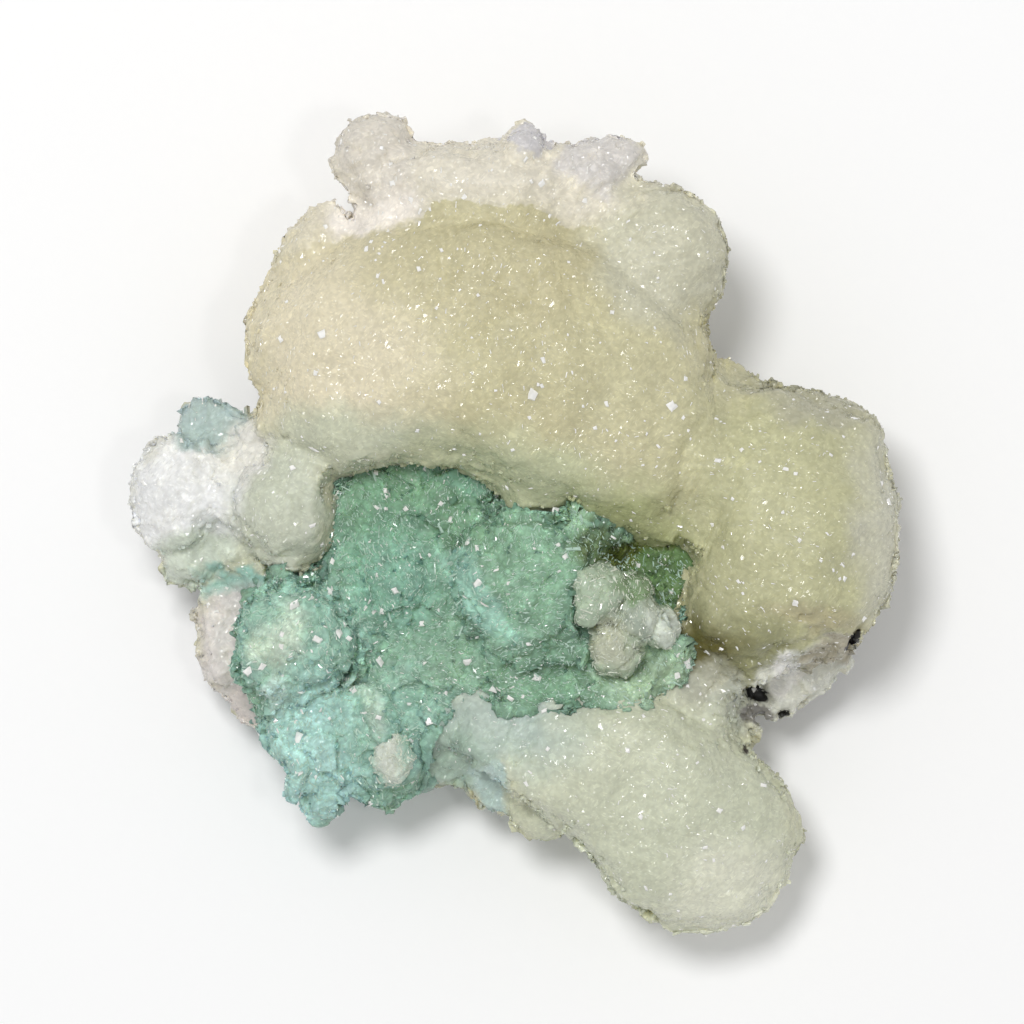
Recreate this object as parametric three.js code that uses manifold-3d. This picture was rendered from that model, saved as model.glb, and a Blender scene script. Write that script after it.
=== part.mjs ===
// A hand specimen of stilbite, lying on its back on a broken slab of basalt.
// Cream sheaves of stilbite have grown into one another round a hollow. A crust of green crystals
// lines the hollow and spills out of it to the lower left, and pale nodules sit on the green.
// Millimetres, +Z up. The origin is on the flat foot of the slab, under the middle of the specimen.
// The display side faces +Z and its upper edge is towards +Y.
import * as THREE from "three";
import { ConvexGeometry } from "three/addons/geometries/ConvexGeometry.js";
import { ImprovedNoise } from "three/addons/math/ImprovedNoise.js";
import { mergeVertices } from "three/addons/utils/BufferGeometryUtils.js";
import Module from "manifold-3d";

// Driving dimensions
const SEAM = 0.3; // free gap between two minerals that touch
const FACET = 4.2; // length of a facet's edge on a lobe
const FEWEST_SPLITS = 2; // of a lobe's twenty first faces
const SKIN_WAVE = 9; // from one swelling of the skin to the next
const CALM_STEP = 0.22; // radians between the bearings that a calmed outline is averaged over
const NOTCH_FADE = 5; // how fast an outline's notches fade away from the rim
const SLAB_TOP = 11; // the basalt slab's upper face
const OUTLINE_STEPS = 180; // samples of an outline, for its reach in each direction
const BALL_POINTS = 12; // points of a round lobe's outline
const BLADE_SIDES = 6; // faces round a flat-faced crystal
const BLADE_POINT = 0.25; // its pointed end, as a share of its length

const wasm = await Module();
wasm.setup();
const noise = new ImprovedNoise();

const FINISH = {
  stilbite: { color: 0xd9d2b4, roughness: 0.45, metalness: 0 },
  green: { color: 0x86b698, roughness: 0.4, metalness: 0 },
  nodule: { color: 0xc9ccbc, roughness: 0.5, metalness: 0 },
  basalt: { color: 0x4a4a46, roughness: 0.85, metalness: 0 },
};

// A closed geometry as a solid for joining and cutting.
function solidOf(geometry) {
  const bare = new THREE.BufferGeometry();
  bare.setAttribute("position", geometry.getAttribute("position"));
  if (geometry.index) bare.setIndex(geometry.index);
  const merged = mergeVertices(bare, 1e-4);
  return new wasm.Manifold(
    new wasm.Mesh({
      numProp: 3,
      vertProperties: merged.attributes.position.array,
      triVerts: new Uint32Array(merged.index.array),
    }),
  );
}

function join(solids) {
  return solids.reduce((whole, next) => whole.add(next));
}

function geometryOf(solid) {
  const { numProp, vertProperties, triVerts } = solid.getMesh();
  const count = vertProperties.length / numProp;
  const position = new Float32Array(count * 3);
  for (let i = 0; i < count; i++) {
    position.set(vertProperties.subarray(i * numProp, i * numProp + 3), i * 3);
  }
  const geometry = new THREE.BufferGeometry();
  geometry.setAttribute("position", new THREE.BufferAttribute(position, 3));
  geometry.setIndex(new THREE.BufferAttribute(new Uint32Array(triVerts), 1));
  geometry.computeVertexNormals();
  return geometry;
}

// How far a closed outline reaches from a point inside it, as a function of direction.
function reachOf(outline, [cx, cy]) {
  const curve = new THREE.CatmullRomCurve3(
    outline.map(([x, y]) => new THREE.Vector3(x, y, 0)),
    true,
    "centripetal",
  );
  const samples = curve
    .getPoints(OUTLINE_STEPS)
    .map((p) => ({ angle: Math.atan2(p.y - cy, p.x - cx), reach: Math.hypot(p.x - cx, p.y - cy) }))
    .sort((a, b) => a.angle - b.angle);
  return (bearing) => {
    const angle = Math.atan2(Math.sin(bearing), Math.cos(bearing));
    let i = samples.findIndex((s) => s.angle > angle);
    if (i < 0) i = 0;
    const after = samples[i];
    const before = samples[(i + samples.length - 1) % samples.length];
    const turn = 2 * Math.PI;
    const span = (after.angle - before.angle + turn) % turn || 1;
    const share = ((angle - before.angle + turn) % turn) / span;
    return before.reach + (after.reach - before.reach) * share;
  };
}

// A lobe swells out of an outline seen from above: its crest and its belly lie over and under `middle`,
// and its rim lies at the height `rim`. `plump` is 2 for an ellipsoid's side and more for a flatter top.
// Away from the rim the outline's notches fade into a calmer one, so they leave no grooves over the crest.
// `swell` is the height of its skin's swellings. `ribs` run out from `root`, as the blades of a sheaf do.
// `grow` moves the finished skin outwards, so that a grown lobe holds the plain one.
function lobe(
  { outline, middle, rim, crest, belly, plump = 2.3, swell = 0.5, lean = [0, 0], ribs },
  grow = 0,
) {
  const reach = reachOf(outline, middle);
  const calmReach = (angle) => {
    const spread = [-2, -1, 0, 1, 2].map((step) => reach(angle + step * CALM_STEP));
    return spread.reduce((sum, next) => sum + next) / spread.length;
  };
  const meanReach = (reach(0) + reach(Math.PI / 2) + reach(Math.PI) + reach(-Math.PI / 2)) / 4;
  const splits = Math.max(FEWEST_SPLITS, Math.round(meanReach / FACET));
  const geometry = new THREE.IcosahedronGeometry(1, splits - 1);
  const position = geometry.getAttribute("position");
  const out = new THREE.Vector3();
  for (let i = 0; i < position.count; i++) {
    out.fromBufferAttribute(position, i).normalize();
    const angle = Math.atan2(out.y, out.x);
    const level = Math.hypot(out.x, out.y);
    const share = Math.pow(level ** plump + Math.abs(out.z) ** plump, -1 / plump);
    const height = out.z > 0 ? crest - rim : rim - belly;
    const width = THREE.MathUtils.lerp(calmReach(angle), reach(angle), level ** NOTCH_FADE);
    const x = middle[0] + Math.cos(angle) * level * share * width;
    const y = middle[1] + Math.sin(angle) * level * share * width;
    const tilt = lean[0] * (x - middle[0]) + lean[1] * (y - middle[1]);
    const z = rim + out.z * share * height + tilt;
    let rise = 2 * swell * noise.noise(x / SKIN_WAVE, y / SKIN_WAVE, z / SKIN_WAVE);
    if (ribs) {
      const bearing = Math.atan2(y - ribs.root[1], x - ribs.root[0]);
      rise += ribs.depth * level * share * noise.noise(bearing * ribs.count, 0.5, z / SKIN_WAVE);
    }
    const skin = new THREE.Vector3(x, y, z).addScaledVector(out, rise + grow);
    position.setXYZ(i, skin.x, skin.y, skin.z);
  }
  return solidOf(geometry);
}

const lobes = (list, grow) => join(list.map((row) => lobe(row, grow)));

// A round lobe needs no outline of its own.
function ball([x, y, z], [rx, ry, rz], turn = 0, more = {}) {
  const outline = [];
  for (let step = 0; step < BALL_POINTS; step++) {
    const angle = (step / BALL_POINTS) * 2 * Math.PI;
    const p = new THREE.Vector2(rx * Math.cos(angle), ry * Math.sin(angle));
    p.rotateAround(new THREE.Vector2(), THREE.MathUtils.degToRad(turn));
    outline.push([x + p.x, y + p.y]);
  }
  return { outline, middle: [x, y], rim: z, crest: z + rz, belly: z - rz, plump: 2, swell: 0.3, ...more };
}

// A flat-faced crystal from its foot to its pointed tip, its broad faces level across its width.
function blade({ foot, tip, width, thick }) {
  const start = new THREE.Vector3(...foot);
  const end = new THREE.Vector3(...tip);
  const length = start.distanceTo(end);
  const body = new THREE.CylinderGeometry(1, 1, length, BLADE_SIDES);
  const point = new THREE.ConeGeometry(1, BLADE_POINT * length, BLADE_SIDES);
  point.translate(0, ((1 + BLADE_POINT) * length) / 2, 0);
  const whole = solidOf(body).add(solidOf(point));
  const geometry = geometryOf(whole);
  geometry.scale(width / 2, 1, thick / 2);
  const along = end.clone().sub(start).normalize();
  const across = new THREE.Vector3(0, 0, 1).cross(along).normalize();
  const turned = new THREE.Matrix4().makeBasis(across, along, across.clone().cross(along));
  geometry.applyMatrix4(turned);
  const middle = start.add(end).multiplyScalar(0.5);
  geometry.translate(middle.x, middle.y, middle.z);
  return solidOf(geometry);
}

// The great cream sheaf, whose scalloped lower edge hangs over the hollow.
const MAIN_SHEAF = {
  outline: [
    [-41.4, 25], [-40.4, 31], [-38.8, 34], [-36, 37.5], [-33, 41.5], [-27, 45], [-14, 49], [0, 49.5],
    [12, 47], [20, 42], [26, 36], [28.5, 30], [30.5, 24], [30.5, 15], [29, 5], [26.5, -2], [23, -5.5],
    [19, -4.5], [14, -1.5], [10.8, 1], [7.8, 3.2], [3, 0], [-1.5, 1], [-4, 5], [-7, 8.3], [-15, 9.4],
    [-22, 8], [-29, 6.5], [-37, 10], [-39.5, 19],
  ],
  middle: [-4, 25],
  rim: 25,
  crest: 49,
  belly: 8,
  plump: 2.4,
  swell: 1.2,
  ribs: { root: [-6, 60], count: 9, depth: 1.6 },
};

const UPPER_RIM = [
  {
    outline: [
      [-28, 44.5], [-26.5, 49], [-21, 54], [-14.5, 56.5], [-4, 56.5], [4, 56.3], [12, 56.5], [19, 52],
      [18, 45], [10, 43.5], [3, 46], [-5, 48], [-12, 47], [-17.5, 43.5], [-23, 43.5],
    ],
    middle: [-5, 51],
    rim: 33,
    crest: 43,
    belly: 16,
    swell: 1,
  },
  ball([-30.3, 41.8, 28], [7, 4.4, 9], 48),
  ball([-28.6, 47, 30], [2, 1.5, 2]),
  ball([-21.2, 54.9, 32], [6.6, 6.4, 6.6]),
  ball([-13.4, 54.4, 33], [4, 3, 4]),
  ball([0.8, 57.2, 31], [3.2, 3.1, 3.1]),
  ball([12.5, 54.2, 33], [6.6, 3.8, 4.2], 12),
  ball([-4.3, 56.8, 30], [2.2, 1.7, 2]),
];

const UPPER_RIGHT_SHEAF = {
  outline: [
    [12.5, 41.5], [13, 47], [18, 51.7], [24, 51], [28.5, 48], [31.3, 42.5], [31, 40.5], [29.8, 38.5],
    [30.3, 34.5], [27.5, 30], [23, 28], [17, 33],
  ],
  middle: [21, 41],
  rim: 31,
  crest: 42,
  belly: 17,
  plump: 2.6,
  swell: 0.6,
  ribs: { root: [8, 38], count: 16, depth: 1.2 },
};

const RIGHT_SHEAF = {
  outline: [
    [28, 17], [29.9, 24.4], [33, 24.8], [36.6, 21.9], [42.3, 20.3], [47, 19.2], [52.8, 18], [55, 15],
    [54.2, 11.4], [56.5, 7], [57.5, 3.9], [56.3, 0.2], [58.3, -5.1], [56, -9.6], [53, -15], [50, -18.6],
    [45.3, -20.8], [39.3, -22], [33, -24.8], [27.3, -23.1], [24, -18.6], [22.8, -14], [25, -9.6],
    [26.5, -2], [27, 7],
  ],
  middle: [39, -1],
  rim: 22,
  crest: 41,
  belly: 9,
  plump: 2.4,
  swell: 1.2,
  ribs: { root: [14, 6], count: 14, depth: 1.4 },
};

const LOWER_SHEAF = [
  {
    outline: [
      [-13, -25], [-6, -24.5], [-2, -26], [6, -26], [12, -25.5], [18.5, -24.3], [23, -24], [27, -27],
      [31, -31], [35.5, -35], [40, -38.2], [41, -41], [40.3, -44.5], [42, -47.6], [40.8, -50.5],
      [38.5, -55], [34.7, -59.6], [30.6, -60.3], [28, -61.5], [23, -61.6], [19, -59], [15.5, -55.5],
      [12.5, -50.5], [8.5, -47], [3.3, -41.4], [-2.7, -38], [-8, -35.5], [-12, -31.5],
    ],
    middle: [17, -40],
    rim: 20,
    crest: 34,
    belly: 8,
    plump: 2.5,
    swell: 1,
    lean: [-0.1, 0.05],
    ribs: { root: [-2, -18], count: 15, depth: 1.5 },
  },
  ball([0, -31, 18], [13, 6.5, 11.5], -8, { swell: 0.8 }),
  {
    outline: [
      [-2.7, -42], [0, -37], [6, -38], [9.5, -44], [8.5, -45.5], [4.3, -47.6], [2, -47.4], [-0.5, -45],
    ],
    middle: [3, -42.5],
    rim: 16,
    crest: 22,
    belly: 10,
    swell: 0.4,
  },
  {
    outline: [
      [-16, -31], [-12, -26], [-5, -28], [-4, -34], [-7, -38.6], [-11, -39.2], [-15.5, -38.8],
    ],
    middle: [-10, -33],
    rim: 15,
    crest: 22,
    belly: 8,
    swell: 0.3,
  },
  ball([-4.6, -38.6, 15], [2.9, 4.6, 5], 15),
];

const LEFT_CLUSTER = [
  {
    outline: [
      [-58.2, 4], [-57.3, 8], [-56, 10.5], [-52.5, 13.8], [-48.5, 13.5], [-44, 9.5], [-43, 4], [-45.5, 0],
      [-49.5, -3.5], [-54, -3.5], [-56.8, -0.5],
    ],
    middle: [-50.5, 5],
    rim: 21,
    crest: 30,
    belly: 12,
    swell: 0.7,
  },
  {
    outline: [
      [-51.3, 15], [-50.5, 18.5], [-48, 19.8], [-44.5, 18.3], [-41.3, 15.5], [-42, 12.5], [-46, 12.5],
    ],
    middle: [-46.5, 15.5],
    rim: 17,
    crest: 23,
    belly: 11,
    swell: 0.4,
  },
  ball([-39.7, 15, 19], [2.2, 2.2, 5]),
  ball([-43, 6.5, 19], [4, 7, 7.5]),
  ball([-42.7, -3, 18], [3.6, 5, 7]),
  ball([-40.3, 11.5, 21], [3.5, 4.6, 8]),
  {
    outline: [
      [-53.6, -4.5], [-50, -1], [-45.5, 0], [-43.5, -4], [-45.5, -8], [-49, -9.3], [-53.3, -8.6],
    ],
    middle: [-48.5, -4.5],
    rim: 17,
    crest: 23,
    belly: 11,
    swell: 0.6,
  },
  {
    outline: [
      [-43.8, 3], [-41, 8], [-36, 10.5], [-29, 9], [-25.7, 5], [-27, 0], [-28, -5], [-31, -7.8],
      [-36, -6.5], [-41, -3.5],
    ],
    middle: [-35, 2],
    rim: 24,
    crest: 38,
    belly: 10,
    swell: 0.8,
  },
  ball([-39.5, -9, 14], [8.5, 3, 5], -4, { plump: 4 }),
  {
    outline: [
      [-49.5, -10.5], [-44, -10], [-38, -11], [-35, -17], [-37, -25], [-42, -26.5], [-46.5, -24],
      [-47.8, -18], [-48.8, -13.5],
    ],
    middle: [-43, -17],
    rim: 13,
    crest: 20,
    belly: 7,
    plump: 2.6,
    swell: 0.8,
  },
  ball([-40.2, -27, 12], [3.4, 3.6, 4]),
];

const MATRIX_CRUST = [
  {
    outline: [
      [31, -24], [36.5, -18], [42, -15.5], [47, -13.5], [51.8, -14], [53.2, -16.5], [51, -20.5],
      [47.7, -23.4], [43.3, -26.8], [40.2, -29.6], [36.3, -28.6], [33.5, -27.5],
    ],
    middle: [42.5, -21],
    rim: 13,
    crest: 18.5,
    belly: 7,
    swell: 0.8,
  },
  ball([25.5, -24.5, 19], [3.3, 4, 9]),
  ball([28.2, -26, 17], [4, 5, 9]),
  ball([31.8, -31, 14], [3.4, 4.6, 6]),
  ball([32.3, -27.5, 14], [2.2, 2.8, 5]),
];

const STILBITE = [
  MAIN_SHEAF,
  ...UPPER_RIM,
  UPPER_RIGHT_SHEAF,
  RIGHT_SHEAF,
  ...LOWER_SHEAF,
  ...LEFT_CLUSTER,
  ...MATRIX_CRUST,
];

const GREEN_HOLLOW = [
  {
    outline: [
      [-31, -2], [-30, 2.5], [-26, 8], [-20, 10], [-14.5, 10.5], [-6.5, 8.5], [-3, 3], [-5, -2], [-8, -5],
      [-6, -11], [-4, -17], [-10, -20], [-17.5, -20.5], [-24, -18], [-27, -12], [-29.5, -7.5],
    ],
    middle: [-17, -5],
    rim: 18,
    crest: 28,
    belly: 11,
    swell: 1.4,
  },
  ball([-22.5, 0.5, 25], [5.5, 5, 5]),
  ball([-11, 3, 25], [5, 4, 5], 20),
  ball([-18.5, -9.5, 25], [7, 5, 5.5], 60),
  {
    outline: [
      [-9.9, -5.1], [-8.4, -2.9], [-5.7, -0.9], [-2, 0.6], [2.6, 0.8], [6.3, -0.1], [10, -2.5],
      [12.5, -5.1], [13.2, -9.6], [12.5, -14.1], [11.3, -18.5], [8.6, -19.8], [3.3, -19.8], [-1, -19.3],
      [-3.8, -17.3], [-6, -13.4], [-8.5, -9.6],
    ],
    middle: [2, -9],
    rim: 24,
    crest: 38.5,
    belly: 11,
    plump: 3,
    swell: 1.2,
  },
  {
    outline: [
      [-6, -17], [-2.7, -15], [3.3, -15], [10.8, -16], [12.5, -20], [12.3, -24.6], [10, -27.3],
      [6.3, -27.5], [1.8, -28.2], [-2, -27.8], [-4.5, -24.8], [-6.3, -21.3],
    ],
    middle: [3, -21.5],
    rim: 20,
    crest: 32,
    belly: 11,
    plump: 2.6,
    swell: 0.9,
  },
  {
    outline: [
      [10, -14], [14, -8], [20, -8], [23, -13], [23.2, -17], [24, -20], [23, -24.3], [20, -26.2],
      [15.3, -27.8], [11, -27],
    ],
    middle: [17, -18],
    rim: 20,
    crest: 32,
    belly: 11,
    plump: 2.5,
    swell: 0.9,
  },
  ball([20.5, -7, 15], [7.5, 5, 9], 0, { plump: 4 }),
  ball([11, 0, 15], [6, 5, 11]),
];

// Flat-faced blades that stand out of the crust: a ledge under the cream sheaf, and the pocket beside
// the nodules.
const GREEN_BLADES = [
  { foot: [-13.5, 7.6, 26], tip: [-6, 6.2, 27.5], width: 5, thick: 3.4 },
  { foot: [19, -9, 21], tip: [26.8, -6.4, 24.5], width: 6.5, thick: 3.2 },
  { foot: [14, -1, 19], tip: [19.5, -7, 27], width: 3.6, thick: 3 },
  { foot: [10.8, 2.5, 22], tip: [9, -2.2, 30], width: 3.4, thick: 2.6 },
  { foot: [13.5, 1, 22], tip: [13, -3.8, 28.5], width: 3, thick: 2.4 },
];

const GREEN_SPILL = [
  {
    outline: [
      [-42.6, -17], [-40.3, -12], [-35, -9], [-29, -9.3], [-25.2, -13], [-24.6, -19], [-27, -24.3],
      [-32, -27], [-38, -27], [-42, -22.5],
    ],
    middle: [-33, -17.5],
    rim: 22,
    crest: 35.5,
    belly: 11,
    plump: 2.3,
    swell: 1,
  },
  {
    outline: [
      [-38.6, -29], [-38.3, -32], [-34.5, -35.5], [-34, -40], [-32.4, -46], [-29.2, -43.4], [-26.8, -40],
      [-23, -37], [-22, -31], [-26, -25], [-34, -24],
    ],
    middle: [-30, -32.5],
    rim: 18,
    crest: 28,
    belly: 9,
    swell: 1,
  },
  {
    outline: [
      [-27, -25], [-18, -23], [-12, -25], [-12.5, -32], [-14.2, -37.8], [-17.3, -40.4], [-19.5, -41.8],
      [-22.8, -40.4], [-26, -39], [-27.5, -32],
    ],
    middle: [-20, -31.5],
    rim: 17,
    crest: 28,
    belly: 8,
    swell: 1.2,
  },
  ball([-13.5, -21.5, 19], [11, 5.5, 10]),
];

const GREEN = [...GREEN_HOLLOW, ...GREEN_SPILL];

const NODULE_CLUSTER = [
  ball([11.5, -10.3, 35], [4.4, 3.8, 4], -20),
  ball([17.4, -13.6, 33], [3.2, 3.2, 4]),
  ball([14.2, -18, 32], [3.1, 3.9, 4], 25),
  ball([20.9, -15.2, 31], [1.9, 2.5, 3.2]),
  ball([17, -9.3, 32], [2.3, 1.5, 3]),
];

const LONE_NODULE = [ball([-19, -34.5, 25], [3.6, 4.8, 4.4])];

// The slab's outline at its upper face, anticlockwise from the right.
const SLAB_OUTLINE = [
  [51, -14], [52, -4], [47, 6], [26, 26], [8, 44], [-16, 45], [-32, 34], [-38, 18], [-42, 0], [-40, -14],
  [-30, -28], [-8, -33], [22, -33], [39, -28], [46, -23.5], [49.5, -20],
];
const SLAB_BEVEL = 2; // drop of the slab's upper edge
const SLAB_UNDERCUT = 5; // how far the foot lies inside the outline

function slab(grow) {
  const points = [];
  const put = (x, y, inset, z) => {
    const reach = new THREE.Vector2(x, y);
    reach.setLength(reach.length() - inset + grow);
    points.push(new THREE.Vector3(reach.x, reach.y, z));
  };
  for (const [x, y] of SLAB_OUTLINE) {
    put(x, y, 0, SLAB_TOP - SLAB_BEVEL + grow);
    put(x, y, 2 * SLAB_BEVEL, SLAB_TOP + grow);
    put(x, y, SLAB_UNDERCUT, 0);
  }
  return solidOf(new ConvexGeometry(points));
}

const specimen = new THREE.Group();

function addNode(name, solid, finish) {
  const mesh = new THREE.Mesh(geometryOf(solid), new THREE.MeshStandardMaterial(finish));
  mesh.name = name;
  specimen.add(mesh);
}

const grownSlab = slab(SEAM);
const stilbite = lobes(STILBITE, 0).subtract(grownSlab);
const grownStilbite = lobes(STILBITE, SEAM);
const blades = join(GREEN_BLADES.map(blade));
const green = lobes(GREEN, 0).add(blades).subtract(grownStilbite).subtract(grownSlab);
const grownGreen = lobes(GREEN, SEAM).add(blades);

addNode("basalt_slab", slab(0), FINISH.basalt);
addNode("stilbite_sheaves", stilbite, FINISH.stilbite);
addNode("green_crust", green, FINISH.green);
const bed = grownGreen.add(grownStilbite);
addNode("nodule_cluster", lobes(NODULE_CLUSTER, 0).subtract(bed), FINISH.nodule);
addNode("lone_nodule", lobes(LONE_NODULE, 0).subtract(bed), FINISH.nodule);

export default specimen;
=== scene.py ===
# The looks of a stilbite hand specimen that lies on its back on a broken slab of basalt.
# Every lobe keeps the place and size of its solid. Its skin is rounded and roughened here, and covered with
# small flat-faced crystals. Lengths are in millimetres until a mesh is written, which is in metres.
import math

import bpy
import numpy as np
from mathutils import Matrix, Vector
from mathutils.bvhtree import BVHTree


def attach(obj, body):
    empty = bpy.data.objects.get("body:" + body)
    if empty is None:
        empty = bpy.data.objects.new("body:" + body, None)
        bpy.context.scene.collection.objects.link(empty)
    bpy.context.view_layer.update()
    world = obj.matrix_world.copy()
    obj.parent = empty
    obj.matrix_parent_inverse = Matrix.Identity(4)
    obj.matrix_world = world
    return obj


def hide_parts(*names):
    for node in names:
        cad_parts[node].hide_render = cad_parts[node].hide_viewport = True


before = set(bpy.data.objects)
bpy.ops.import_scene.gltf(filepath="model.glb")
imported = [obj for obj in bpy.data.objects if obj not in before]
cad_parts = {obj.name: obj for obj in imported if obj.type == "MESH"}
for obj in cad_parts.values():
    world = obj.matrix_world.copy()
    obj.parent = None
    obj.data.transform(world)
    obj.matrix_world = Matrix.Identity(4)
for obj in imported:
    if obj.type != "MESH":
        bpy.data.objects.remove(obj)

MM = 0.001
SEED = 5414
# Farther than any distance on the specimen, and shorter than any that counts
FAR = 1e9
TINY = 1e-9

# The photograph's scale, and the middle of its frame in the row frame
FRAME_WIDTH = 153.6
FRAME_MIDDLE = (-0.9, 2.1)
CAMERA_HEIGHT = 1200.0
FOCUS_HEIGHT = 25.0
SENSOR = 36.0

random = np.random.default_rng(SEED)

for leftover in ("Cube", "Light", "Camera"):
    if leftover in bpy.data.objects:
        bpy.data.objects.remove(bpy.data.objects[leftover])

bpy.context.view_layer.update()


# Noise

# Large odd numbers that mix a cell's place and a seed into a number that looks like chance
AXIS_FACTORS = np.array([374761393, 668265263, 1103515245])
SEED_FACTOR = 144665
LAST_FACTOR = 1274126177
LARGEST = 0xFFFFFF


def lattice(cell, seed):
    """A repeatable number from 0 to 1 for each whole-numbered cell."""
    mixed = cell @ AXIS_FACTORS + seed * SEED_FACTOR
    mixed = (mixed ^ (mixed >> 13)) * LAST_FACTOR
    return ((mixed ^ (mixed >> 16)) & LARGEST) / LARGEST


def waves(points, seed):
    """Smooth noise from -1 to 1 whose swellings are about one unit apart."""
    cell = np.floor(points).astype(np.int64)
    part = points - cell
    part = part * part * (3 - 2 * part)
    total = np.zeros(len(points))
    for dx in (0, 1):
        for dy in (0, 1):
            for dz in (0, 1):
                corner = cell + np.array([dx, dy, dz])
                weight = (
                    (part[:, 0] if dx else 1 - part[:, 0])
                    * (part[:, 1] if dy else 1 - part[:, 1])
                    * (part[:, 2] if dz else 1 - part[:, 2])
                )
                total += weight * lattice(corner, seed)
    return total * 2 - 1


def blocks(points, seed):
    """Tilted flat facets in cells about one unit across: the height of the facet under each point."""
    cell = np.floor(points).astype(np.int64)
    best = np.full(len(points), FAR)
    height = np.zeros(len(points))
    for dx in (-1, 0, 1):
        for dy in (-1, 0, 1):
            for dz in (-1, 0, 1):
                near = cell + np.array([dx, dy, dz])
                middle = near + np.stack([lattice(near, seed + k) for k in (1, 2, 3)], axis=1)
                slope = np.stack([lattice(near, seed + k) for k in (4, 5, 6)], axis=1) * 2 - 1
                away = points - middle
                distance = np.einsum("ij,ij->i", away, away)
                closer = distance < best
                best[closer] = distance[closer]
                facet = lattice(near, seed + 7) * 2 - 1 + np.einsum("ij,ij->i", away, slope)
                height[closer] = facet[closer]
    return height


# Meshes as arrays

def arrays_of(mesh):
    """A mesh's corners in millimetres and its triangles."""
    mesh.calc_loop_triangles()
    corners = np.empty(len(mesh.vertices) * 3)
    mesh.vertices.foreach_get("co", corners)
    faces = np.empty(len(mesh.loop_triangles) * 3, dtype=np.int32)
    mesh.loop_triangles.foreach_get("vertices", faces)
    return corners.reshape(-1, 3) / MM, faces.reshape(-1, 3)


def object_of(name, corners, faces, flat):
    """A new object with these corners and triangles, flat or smooth in its shading."""
    mesh = bpy.data.meshes.new(name)
    mesh.vertices.add(len(corners))
    mesh.vertices.foreach_set("co", (corners * MM).astype(np.float32).ravel())
    mesh.loops.add(faces.size)
    mesh.loops.foreach_set("vertex_index", faces.astype(np.int32).ravel())
    mesh.polygons.add(len(faces))
    mesh.polygons.foreach_set("loop_start", np.arange(0, faces.size, 3, dtype=np.int32))
    mesh.update(calc_edges=True)
    mesh.polygons.foreach_set("use_smooth", np.full(len(faces), not flat))
    mesh.update()
    piece = bpy.data.objects.new(name, mesh)
    bpy.context.scene.collection.objects.link(piece)
    return piece


def normals_of(corners, faces):
    """The direction that the surface faces at each corner."""
    a, b, c = (corners[faces[:, k]] for k in range(3))
    face_normal = np.cross(b - a, c - a)
    normal = np.zeros_like(corners)
    for k in range(3):
        for axis in range(3):
            normal[:, axis] += np.bincount(faces[:, k], face_normal[:, axis], len(corners))
    return normal / np.maximum(np.linalg.norm(normal, axis=1, keepdims=True), TINY)


def remeshed(node, voxel):
    """The node's solid as an even mesh, with its lobes' facets still on it."""
    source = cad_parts[node]
    copy = source.copy()
    bpy.context.scene.collection.objects.link(copy)
    even = copy.modifiers.new("even", "REMESH")
    even.mode = "VOXEL"
    even.voxel_size = voxel * MM
    graph = bpy.context.evaluated_depsgraph_get()
    mesh = bpy.data.meshes.new_from_object(copy.evaluated_get(graph))
    bpy.data.objects.remove(copy)
    corners, faces = arrays_of(mesh)
    bpy.data.meshes.remove(mesh)
    return corners, faces


# How far a corner goes towards the mean of its neighbours, and how far it is then pushed back out
DRAWN_IN = 0.6
PUSHED_OUT = -0.61


def rounded(corners, faces, rounds):
    """Smooths away the facets and keeps the volume: each round draws in, then pushes back out."""
    edges = np.concatenate([faces[:, [0, 1]], faces[:, [1, 2]], faces[:, [2, 0]]])
    edges = np.unique(np.sort(edges, axis=1), axis=0)
    first, second = edges[:, 0], edges[:, 1]
    count = np.bincount(edges.ravel(), minlength=len(corners))[:, None]
    corners = corners.copy()
    for turn in range(2 * rounds):
        share = DRAWN_IN if turn % 2 == 0 else PUSHED_OUT
        total = np.zeros_like(corners)
        for axis in range(3):
            total[:, axis] = np.bincount(first, corners[second, axis], len(corners))
            total[:, axis] += np.bincount(second, corners[first, axis], len(corners))
        corners += share * (total / count - corners)
    return corners


# The middle of each region of the skin, and the root that its blades grow away from
GROWTH = [
    ((-4, 22), (-6, 66)),
    ((-5, 51), (-10, 20)),
    ((21, 41), (6, 38)),
    ((40, 2), (12, 8)),
    ((38, -16), (16, 4)),
    ((20, -42), (-8, -14)),
    ((-8, -31), (-30, -20)),
    ((-35, 2), (-30, 30)),
    ((-50, 5), (-50, 5)),
    ((-43, -17), (-30, -10)),
]


def growth_of(points):
    """The level direction away from the root of each point's region, and its distance and bearing from it."""
    middles = np.array([row[0] for row in GROWTH], float)
    roots = np.array([row[1] for row in GROWTH], float)
    gap = np.linalg.norm(points[:, None, :2] - middles[None], axis=2)
    root = roots[np.argmin(gap, axis=1)]
    away = points[:, :2] - root
    distance = np.maximum(np.linalg.norm(away, axis=1), TINY)
    direction = np.concatenate([away / distance[:, None], np.zeros((len(points), 1))], axis=1)
    bearing = np.arctan2(away[:, 1], away[:, 0])
    return direction, distance, bearing


# The rounded bases of all the pieces

# For each node: the edge of its even mesh, the rounds of smoothing, and its longest edge where it is seen
MESHING = {
    "basalt_slab": (1.1, 4, 0.8),
    "stilbite_sheaves": (0.95, 24, 0.72),
    "green_crust": (0.8, 8, 0.45),
    "nodule_cluster": (0.55, 5, 0.4),
    "lone_nodule": (0.55, 5, 0.4),
}

bases = {}
for node, (voxel, rounds, _) in MESHING.items():
    corners, faces = remeshed(node, voxel)
    bases[node] = (rounded(corners, faces, rounds), faces)


# What can be seen of each base: straight from above, and from anywhere above the horizon

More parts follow.
